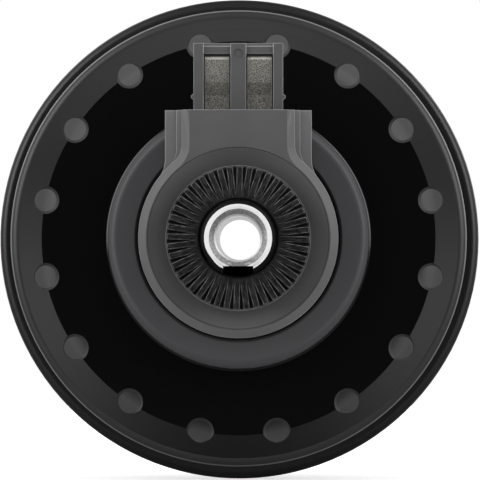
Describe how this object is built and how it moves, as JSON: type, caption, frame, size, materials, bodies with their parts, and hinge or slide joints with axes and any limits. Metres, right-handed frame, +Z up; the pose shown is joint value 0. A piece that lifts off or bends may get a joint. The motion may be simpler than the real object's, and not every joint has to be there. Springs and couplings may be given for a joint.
{
  "type": "hub dynamo",
  "caption": "Front wheel hub with a built-in generator: hollow axle, two unequal spoke flanges, a splined brake rotor seat and a two-contact terminal on a keyhole-shaped housing.",
  "frame": {"origin": "on the axle's axis, midway between the two lock-nut faces", "axes": "+Y along the axle towards the rotor side, +Z up through the terminals, so the connector end faces -Y"},
  "size_m": [0.06, 0.108, 0.06],
  "materials": {
    "shell_black": "black anodised and polished",
    "nut_black": "black oxide",
    "ring_grey": "turned, dark plated",
    "axle_steel": "turned",
    "moulded_grey": "moulded, satin",
    "contact_nickel": "nickel plated, grainy",
    "lead_copper": "enamelled",
    "bearing_steel": "ground",
    "retainer_steel": "pressed",
    "seal_rubber": "moulded",
    "core_iron": "stamped",
    "magnet_grey": "sintered",
    "bobbin_plastic": "moulded"
  },
  "bodies": {
    "axle_assembly": {"axle": "axle_steel", "lock_nut_right": "nut_black", "clamp_ring": "ring_grey", "connector_cover": "moulded_grey", "terminal_base": "moulded_grey", "contact_left": "contact_nickel", "contact_right": "contact_nickel", "lead_wire_left": "lead_copper", "lead_wire_right": "lead_copper", "lead_spacer": "axle_steel", "cone_right": "bearing_steel", "cone_left": "bearing_steel", "stator_nut_right": "axle_steel", "stator_nut_left": "axle_steel", "stator_sleeve": "core_iron", "coil_bobbin": "bobbin_plastic", "coil_winding": "lead_copper", "claw_plate_right": "core_iron", "claw_plate_left": "core_iron", "spacer_left": "axle_steel", "washer_left": "axle_steel", "lock_nut_left": "nut_black"},
    "hub": {"hub_shell": "shell_black", "end_cap": "shell_black", "cup_right": "bearing_steel", "cup_left": "bearing_steel", "seal_right": "seal_rubber", "seal_left": "seal_rubber", "o_ring": "seal_rubber", "back_iron": "core_iron", "magnet_ring": "magnet_grey"},
    "ball_set_right": {"retainer_right": "retainer_steel", "balls_right": "bearing_steel"},
    "ball_set_left": {"retainer_left": "retainer_steel", "balls_left": "bearing_steel"}
  },
  "joints": [
    {"name": "hub_spin", "type": "hinge", "parent": "axle_assembly", "child": "hub", "pos_m": [0, 0, 0], "axis": [0, 1, 0], "continuous": true},
    {"name": "ball_set_right_spin", "type": "hinge", "parent": "axle_assembly", "child": "ball_set_right", "pos_m": [0, -0.0332, 0], "axis": [0, 1, 0], "continuous": true},
    {"name": "ball_set_left_spin", "type": "hinge", "parent": "axle_assembly", "child": "ball_set_left", "pos_m": [0, 0.034, 0], "axis": [0, 1, 0], "continuous": true}
  ],
  "couplings": [
    {"joint": "ball_set_right_spin", "follows": "hub_spin", "ratio": 0.5979},
    {"joint": "ball_set_left_spin", "follows": "hub_spin", "ratio": 0.5979}
  ]
}
